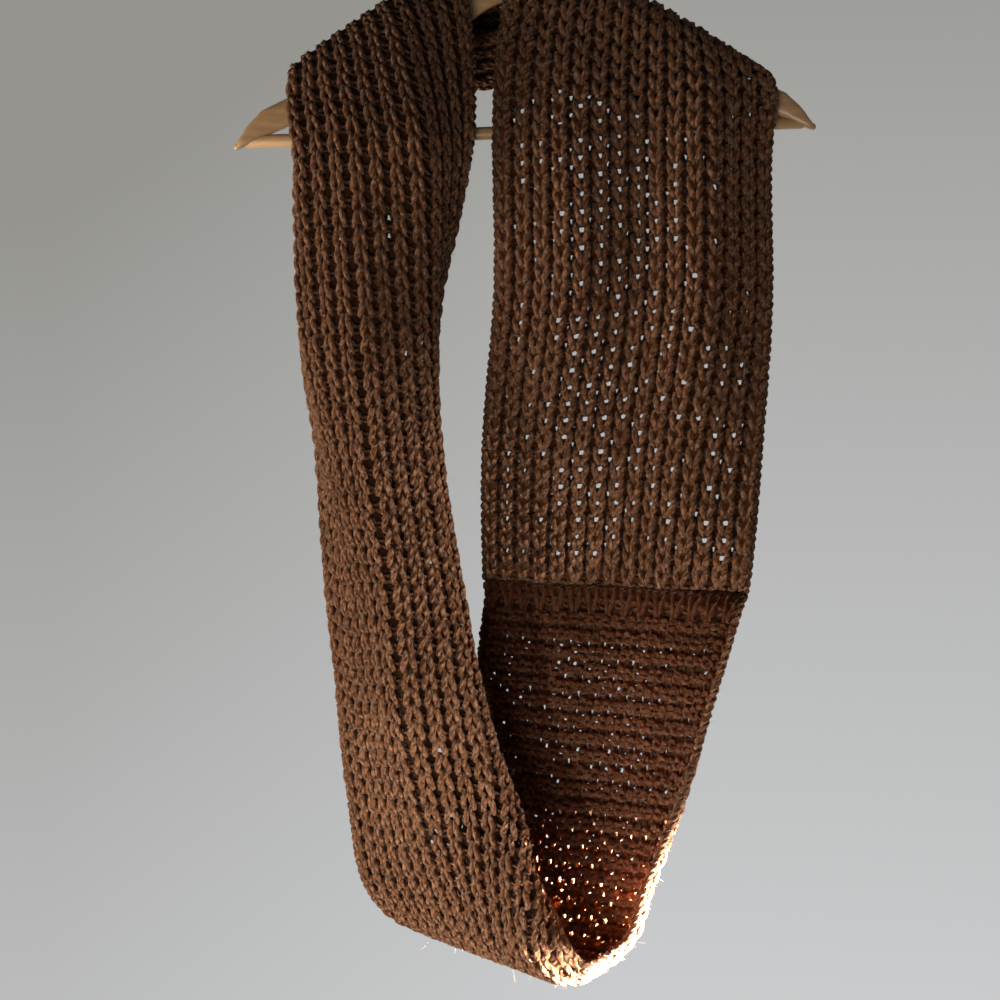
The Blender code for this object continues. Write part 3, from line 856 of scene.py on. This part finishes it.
def hairs_object(name, bundles, metres, chance):
    """Short fuzz of one quad and a tip, and long curly hairs of three quads and a tip, all rooted
    on proud yarn, leaning away from the cloth's middle and hanging a little."""
    points = np.concatenate([bundle.points.reshape(-1, 3) for bundle in bundles])
    height = np.concatenate([bundle.height.ravel() for bundle in bundles])[:, None]
    out = np.concatenate([bundle.out.reshape(-1, 3) for bundle in bundles]) * np.clip(height, -1, 1)
    proud_ones = np.abs(height[:, 0]) > HAIR_ROOT_HEIGHT
    points, height, out = points[proud_ones], height[proud_ones], out[proud_ones]
    corners, quads, tips, prouds, base = [], [], [], [], 0
    for hair in HAIRS:
        number = int(hair.per_metre * metres)
        pick = chance.integers(0, len(points), number)
        length = chance.uniform(hair.shortest, hair.longest, (number, 1))
        way = unit(chance.normal(0, 1, (number, 3)) + out[pick] * LEAN_OUT)
        bend = (unit(chance.normal(0, 1, (number, 3))) + [0, 0, HANG]) * hair.bending * length
        root = points[pick] + way * YARN_RADIUS * 0.8
        blade = blades(root, way * length, bend, hair.width, hair.shares)
        start = base + np.arange(number)[:, None] * blade.shape[1]
        last_pair = 2 * len(hair.shares) - 2
        for k in range(0, last_pair, 2):
            quads.append(start + [k, k + 1, k + 3, k + 2])
        tips.append(start + [last_pair, last_pair + 1, last_pair + 2])
        corners.append(blade.reshape(-1, 3))
        proud = np.abs(height[pick]) / PROUD_HEIGHT + HAIR_PROUD
        prouds.append(np.repeat(proud, blade.shape[1], axis=1).ravel())
        base += blade.shape[0] * blade.shape[1]
    corners, quads, tips, prouds = map(np.concatenate, (corners, quads, tips, prouds))
    return mesh_object(name, corners, quads, FUZZ, tips, proud=prouds)


FIRST_SEED = 40

for number, stretch in enumerate(STRETCHES):
    chance = np.random.default_rng(FIRST_SEED + number)
    short = stretch.node.removeprefix("scarf_")
    at_bottom = stretch.layers is VS_AND_BUMPS
    first, last = PLACE_AT[stretch.first], PLACE_AT[stretch.last]
    bundles = [
        row_bundle(*knit_rows(first, last, layer, chance), chance) for layer in stretch.layers
    ]
    edges = row_bundle(edge_rows(first, last, chance), EDGE_THICK, chance)
    strands = [
        furrow_strands(first, last, layer, chance)
        for layer in stretch.layers
        if layer.loop is HALF_LOOP
    ]
    outer = tube_object(short + "_outer_rows", [bundles[0], edges, strands[0]], YARN)
    # The inner rows at the bottom take the copy of the wool with painted shade.
    inner_finish = INSIDE_YARN_PAINTED_SHADE if at_bottom else YARN
    inner = tube_object(short + "_inner_rows", bundles[1:] + strands[1:], inner_finish)
    bundles.append(edges)
    core, share = core_object(short + "_core", first, last, stretch.open, at_bottom, chance)
    metres = (last - first) * MM
    hairs = hairs_object(short + "_hairs", bundles, metres, chance)
    for piece in (outer, inner, core, hairs):
        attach(piece, "root")
    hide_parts(stretch.node)
    print(f"{stretch.node}: {metres:.3f} m long, share of open cells {share:.2f}")

# %% [markdown]
# ## The seam
#
# The strip's two ends meet face to back and edge to edge, because the loop has a half twist. A last
# row of Vs closes the knitting on each side. Slanted overcast stitches hold the ends together and
# make the low dark ridge that shows, and one loose loop of the sewing yarn stands out.

# %% The seam
OUTER_V_START = math.floor(STRIP_LENGTH / STITCH) * STITCH
INNER_V_START = STRIP_LENGTH - 0.85 * STITCH
INNER_V_TALL = 1.4
SEAM_V_WIDTH = 1.4
SEAM_STRAY = Stray(0.25, 0.012, 0.12)


def last_vs(start, tall, face, chance):
    """One row of wide Vs, this many times as tall as the others, that closes this face."""
    loop = one_period(HALF_LOOP)
    columns = np.arange(RIBS) + 0.5
    legs = np.abs(loop[:, 0]) < LEG_REACH
    across = (columns[:, None] + loop[:, 0] * np.where(legs, SEAM_V_WIDTH, 1.0)).ravel()
    along = start + tall * np.tile(loop[:, 1], RIBS)
    rows = np.stack([along, across, face * np.tile(loop[:, 2], RIBS)], axis=-1)[None]
    rows = rows + chance.normal(0, 1, rows.shape) * SEAM_STRAY
    return row_bundle(rows, np.tile(loop[:, 3], RIBS), chance)


SewPoint = namedtuple("SewPoint", "below_top across height")
OVERCAST = [
    SewPoint(3.6, 0.00, 0.5),
    SewPoint(2.4, 0.10, 1.7),
    SewPoint(1.2, 0.22, 2.1),
    SewPoint(0.2, 0.34, 1.5),
    SewPoint(0.0, 0.45, 0.3),
]
LOOSE_LOOP = [
    SewPoint(3.0, 6.55, 1.0),
    SewPoint(2.5, 6.56, 3.5),
    SewPoint(-1.5, 6.62, 6.0),
    SewPoint(-4.0, 6.80, 7.0),
    SewPoint(-1.5, 6.98, 6.0),
    SewPoint(3.5, 7.05, 4.0),
    SewPoint(6.0, 7.02, 1.5),
]
OVERCAST_RADIUS = 1.2
LOOSE_RADIUS = 0.8
SEWN_STRAY = Stray(0.2, 0.03, 0.0)


def sewn(points, columns, face, radius, chance):
    """One stitch repeated at these columns on one face."""
    table = np.array(points, float)
    along = SEAM_TOP - table[:, 0] + chance.normal(0, SEWN_STRAY.along, (len(columns), 1))
    across = columns[:, None] + table[:, 1]
    across = across + chance.normal(0, SEWN_STRAY.across, (len(columns), 1))
    height = face * table[:, 2] + 0 * across
    rows = np.stack([along + 0 * across, across, height], axis=-1)
    return row_bundle(rows, radius / YARN_RADIUS, chance)


SEAM_SEED = 90
chance = np.random.default_rng(SEAM_SEED)
outer_bundles = [last_vs(OUTER_V_START, 1.0, 1, chance)]
inner_bundles = [last_vs(INNER_V_START, INNER_V_TALL, -1, chance)]
half_ribs = np.arange(2 * RIBS) / 2
outer_bundles.append(sewn(OVERCAST, half_ribs, 1, OVERCAST_RADIUS, chance))
inner_bundles.append(sewn(OVERCAST, half_ribs, -1, OVERCAST_RADIUS, chance))
inner_bundles.append(sewn(LOOSE_LOOP, np.zeros(1), -1, LOOSE_RADIUS, chance))
seam_yarn = tube_object("seam_outer_stitches", outer_bundles, YARN)
# The inner seam stitches take the copy of the wool with painted shade.
seam_inside = tube_object("seam_inner_stitches", inner_bundles, INSIDE_YARN_PAINTED_SHADE)
seam_along = np.linspace(STRIP_LENGTH, SEAM_TOP, 5)
seam_points, seam_cells = middle_grid(seam_along, np.arange(RIBS * 4 + 1) / 4)
seam_core = mesh_object("seam_core", seam_points, seam_cells.reshape(-1, 4), CORE_PAINTED_SHADE)
for piece in (seam_yarn, seam_inside, seam_core):
    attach(piece, "root")
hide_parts("scarf_seam")
seam_points = seam_points.reshape(len(seam_along), -1, 3)

# %% [markdown]
# ## The hanger
#
# The arms are one piece of wood: an oblong section with round corners, carried along a table of
# tops, undersides and thicknesses. The bar and the hook are tubes. All three are tilted together
# by two degrees, as the hanger hangs in the photograph.

# %% The hanger
TILT = math.radians(2.0)
ARM_FORWARD = 18.0
ARM_REACH = 220.0
Arm = namedtuple("Arm", "x top bottom thick")
ARMS = [
    Arm(0, -76, -101, 15.0),
    Arm(20, -84, -105, 14.5),
    Arm(40, -99, -119, 14.0),
    Arm(80, -125, -145, 13.0),
    Arm(130, -152, -172, 13.0),
    Arm(170, -169, -190, 13.0),
    Arm(187, -174, -196, 13.5),
    Arm(200, -182, -202, 13.5),
    Arm(208, -189, -206, 13.0),
    Arm(214, -196, -208, 12.0),
    Arm(218, -203, -210, 10.0),
    Arm(220, -208, -211, 6.0),
]


def tilted(points):
    """These points turned with the hanger about the hook."""
    x, y, z = np.moveaxis(points, -1, 0)
    c, s = math.cos(TILT), math.sin(TILT)
    return np.stack([c * x - s * z, y, s * x + c * z], axis=-1)


Cap = namedtuple("Cap", "share beyond")
CAPS = [
    Cap(0.9, 0.8),
    Cap(0.6, 1.8),
    Cap(0.02, 2.2),
]
SIDE_POWER = 0.55
TOP_POWER = 0.7


def arms_object():
    """Both arms: rounded oblong rings, close together near the rounded tips. A ring is a circle
    whose cosine and sine are raised to powers below 1, which fills its corners, and the arms come
    forward by the square of the distance from the hook."""
    table = np.array(ARMS, float)
    half_x = np.concatenate([np.arange(0, 200, 5.0), np.arange(200, 220, 2.0), [ARM_REACH]])
    x = np.concatenate([-half_x[:0:-1], half_x])
    top, bottom, thick = (np.interp(np.abs(x), table[:, 0], table[:, k]) for k in (1, 2, 3))
    soft = np.ones(5) / 5
    wood_top = np.convolve(np.pad(top, 2, "edge"), soft, "valid")
    wood_bottom = np.convolve(np.pad(bottom, 2, "edge"), soft, "valid")
    turn = 2 * np.pi * np.arange(24) / 24
    c, s = np.cos(turn), np.sin(turn)
    y_shape = np.sign(c) * np.abs(c) ** SIDE_POWER
    z_shape = np.sign(s) * np.abs(s) ** TOP_POWER
    middle = (wood_top + wood_bottom)[:, None] / 2
    high = (wood_top - wood_bottom)[:, None] / 2
    rings = np.stack(
        [
            x[:, None] + 0 * c,
            -ARM_FORWARD * (x[:, None] / ARM_REACH) ** 2 + thick[:, None] / 2 * y_shape,
            middle + high * z_shape,
        ],
        axis=-1,
    )
    ends = []
    for ring, side in ((rings[0], -1), (rings[-1], 1)):
        centre = ring.mean(axis=0)
        caps = [
            centre + (ring - centre) * cap.share + [side * cap.beyond, 0, 0] for cap in CAPS
        ]
        ends.append(caps[::-1] if side < 0 else caps)
    rings = np.concatenate([ends[0], rings, ends[1]])
    count = rings.shape[1]
    index = np.arange(rings.shape[0] * count).reshape(-1, count)
    here, ahead = index[:-1], index[1:]
    quads = np.stack([here, ahead, np.roll(ahead, -1, 1), np.roll(here, -1, 1)], axis=-1)
    fans = [
        end[[0, k, k + 1]] for end in (index[0], index[-1][::-1]) for k in range(1, count - 1)
    ]
    corners = tilted(rings).reshape(-1, 3)
    return mesh_object("arms_of_hanger", corners, quads.reshape(-1, 4), WOOD, np.array(fans))


def single_tube(name, line, out, radius, finish, sides):
    """A tube along one line of points, tilted with the hanger."""
    out = np.broadcast_to(out, (1, len(line), 3))
    return tube_object(name, [Bundle(tilted(line)[None], out, radius, 0.0)], finish, sides)


arms = arms_object()
BAR_Y = -16.0
BAR_Z = -204.0
BAR_RADIUS = 5.0
BAR_END_RADIUS = 4.2
bar_x = np.array([-213, -212, -150, -75, 0, 75, 150, 212, 213.0])
bar_line = np.stack([bar_x, 0 * bar_x + BAR_Y, 0 * bar_x + BAR_Z], axis=-1)
bar_radius = np.where(np.abs(bar_x) == bar_x[-1], BAR_END_RADIUS, BAR_RADIUS)
bar = single_tube("round_bar", bar_line, [0.0, 0, 1], bar_radius, WOOD, 32)

# The wire comes up from the wood, bends aside and turns back over the rail. Its tip is rounded.
HOOK_RADIUS = 21
HOOK_Z = -19
StemPoint = namedtuple("StemPoint", "x y z")
STEM = [
    StemPoint(0, 0, -86.0),
    StemPoint(0, 0, -72),
    StemPoint(0, 0, -62),
    StemPoint(0.2, 0, -58),
    StemPoint(1.2, 0, -54),
    StemPoint(3.6, 0, -48.5),
    StemPoint(6.6, 0, -42.5),
]
turns = np.radians(np.linspace(-62, 178, 60))
arc_x, arc_z = HOOK_RADIUS * np.cos(turns), HOOK_Z + HOOK_RADIUS * np.sin(turns)
wire = np.concatenate([np.array(STEM), np.stack([arc_x, 0 * turns, arc_z], axis=-1)])
wire_radius = np.full(len(wire), 2.0)
wire_radius[-3:] = [2.0, 1.7, 0.9]
hook = single_tube("wire_hook", wire, [0.0, 1, 0], wire_radius, STEEL, 16)

for piece, slot, node in (
    (arms, "pale_beech", "hanger_arms"),
    (bar, "pale_beech", "trouser_bar"),
    (hook, "bright_steel", "hook"),
):
    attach(piece, "root")
    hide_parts(node)
    print(f"{node}: {max(piece.dimensions):.3f} m across")

# %% [markdown]
# ## Stage, light and camera
#
# The wall behind is the world's own pale grey, darker above and to the left, and the floor is a
# plain disc far below the scarf. The world gives less light from the front than from the wall.
#
# In the photograph a window lights the scarf from the left and low sun comes in from the right.
# Here a large warm lamp is the window, and a larger one in front is the rest of the room. Two
# narrow beams are the sun: one from the right and one from the right in front, which whitens the
# lower brim. Two weak beams from below are light that the floor sends back, and a small orange
# lamp beside the loop is sunlight that has come through the wool.

# %% The wall and the floor
scene = bpy.context.scene
scene.view_settings.view_transform = "Standard"
world = bpy.data.worlds.new("pale_wall")
world.use_nodes = True
scene.world = world
tree = world.node_tree
background = tree.nodes["Background"]
direction = tree.nodes.new("ShaderNodeTexCoord")
parts = tree.nodes.new("ShaderNodeSeparateXYZ")
tree.links.new(direction.outputs["Generated"], parts.inputs[0])
side, depth, height = parts.outputs


def world_range(source, start, end, at_start=0.0, at_end=1.0):
    """A value that goes from at_start to at_end while the source goes from start to end."""
    made = tree.nodes.new("ShaderNodeMapRange")
    made.inputs["From Min"].default_value = start
    made.inputs["From Max"].default_value = end
    made.inputs["To Min"].default_value = at_start
    made.inputs["To Max"].default_value = at_end
    tree.links.new(source, made.inputs[0])
    return made.outputs[0]


raised = tree.nodes.new("ShaderNodeMath")
tree.links.new(height, raised.inputs[0])
tree.links.new(world_range(side, 0.05, -0.20, at_end=0.17), raised.inputs[1])
grey = tree.nodes.new("ShaderNodeMix")
grey.data_type = "RGBA"
grey.inputs[6].default_value = (0.30, 0.295, 0.275, 1)
grey.inputs[7].default_value = (0.60, 0.61, 0.62, 1)
tree.links.new(world_range(raised.outputs[0], 0.22, -0.32), grey.inputs[0])
tree.links.new(grey.outputs[2], background.inputs[0])
tree.links.new(world_range(depth, -0.5, 0.5, at_start=0.13), background.inputs["Strength"])

FLOOR_RADIUS = 2400
FLOOR_Z = -1950.0
turn = 2 * np.pi * np.arange(64) / 64
disc = np.stack([np.cos(turn), np.sin(turn), 0 * turn + FLOOR_Z / FLOOR_RADIUS], axis=-1)
disc = disc * FLOOR_RADIUS
floor_mesh = bpy.data.meshes.new("floor")
floor_mesh.from_pydata((disc * MM).tolist(), [], [list(range(64))])
floor = bpy.data.objects.new("floor", floor_mesh)
scene.collection.objects.link(floor)
g = Graph("pale_floor")
cloudy = g.noise(g.node("ShaderNodeTexCoord").outputs["Object"], 2.0, 4.0)
shade = g.blend(cloudy, (0.60, 0.60, 0.59), (0.66, 0.66, 0.65))
floor_mesh.materials.append(
    g.finish(g.node("ShaderNodeBsdfPrincipled", Base_Color=shade, Roughness=0.8).outputs[0])
)

# %% The lamps and the camera
Window = namedtuple("Window", "name place target size watts colour spread")
WINDOWS = [
    Window("window_left", (-1.9, -0.55, -1.15), (-0.05, 0, -0.75), 0.8, 15, (1.0, 0.84, 0.69), 100),
    Window("room", (-0.6, -2.2, -1.6), (-0.05, 0, -0.8), 1.0, 11, (1.0, 0.88, 0.78), 120),
]
Beam = namedtuple("Beam", "name place target watts cone")
BEAMS = [
    Beam("low_beam", (2.3, -0.30, -0.78), (0.07, -0.07, -0.85), 22000, 6.5),
    Beam("rim_beam", (1.2, -1.6, -0.6), (0.046, -0.14, -0.863), 30000, 2.2),
    Beam("lit_floor_right", (1.6, -1.0, -1.3), (-0.035, -0.09, -0.64), 210, 14),
    Beam("lit_floor_left", (-1.2, -1.3, -1.4), (-0.06, -0.10, -0.79), 90, 12),
]
SUN_COLOUR = (1.0, 0.93, 0.82)
SUN_EDGE = 0.7
SMALL_LAMP = 0.03


def lamp_object(name, kind, place, watts, colour):
    """A lamp of this kind at this place, not yet aimed."""
    lamp = bpy.data.lights.new(name, kind)
    lamp.energy = watts
    lamp.color = colour
    made = bpy.data.objects.new(name, lamp)
    made.location = place
    scene.collection.objects.link(made)
    return made


def aim(lamp, target):
    """Turns a lamp so that it shines from its place to the target."""
    way = np.array(target, float) - np.array(lamp.location)
    down = math.atan2(math.hypot(way[0], way[1]), -way[2])
    lamp.rotation_euler = (down, 0.0, math.atan2(way[0], -way[1]) + math.pi)


for window in WINDOWS:
    lamp = lamp_object(window.name, "AREA", window.place, window.watts, window.colour)
    lamp.data.shape = "RECTANGLE"
    lamp.data.size = lamp.data.size_y = window.size
    lamp.data.spread = math.radians(window.spread)
    aim(lamp, window.target)

for beam in BEAMS:
    lamp = lamp_object(beam.name, "SPOT", beam.place, beam.watts, SUN_COLOUR)
    lamp.data.spot_size = math.radians(beam.cone)
    lamp.data.spot_blend = SUN_EDGE
    lamp.data.shadow_soft_size = SMALL_LAMP
    aim(lamp, beam.target)

glow = lamp_object("glow", "POINT", (0.085, -0.10, -0.77), 0.11, (1.0, 0.30, 0.08))
glow.data.shadow_soft_size = SMALL_LAMP
glow.visible_camera = False

camera_data = bpy.data.cameras.new("camera")
camera_data.sensor_width = 36.0
camera_data.lens = 78.66
camera = bpy.data.objects.new("camera", camera_data)
camera.location = (-0.0114, -1.700, -0.350)
camera.rotation_euler = (math.radians(85.4), 0, 0)
scene.collection.objects.link(camera)
scene.camera = camera
print("lamps:", [light.name for light in bpy.data.lights])
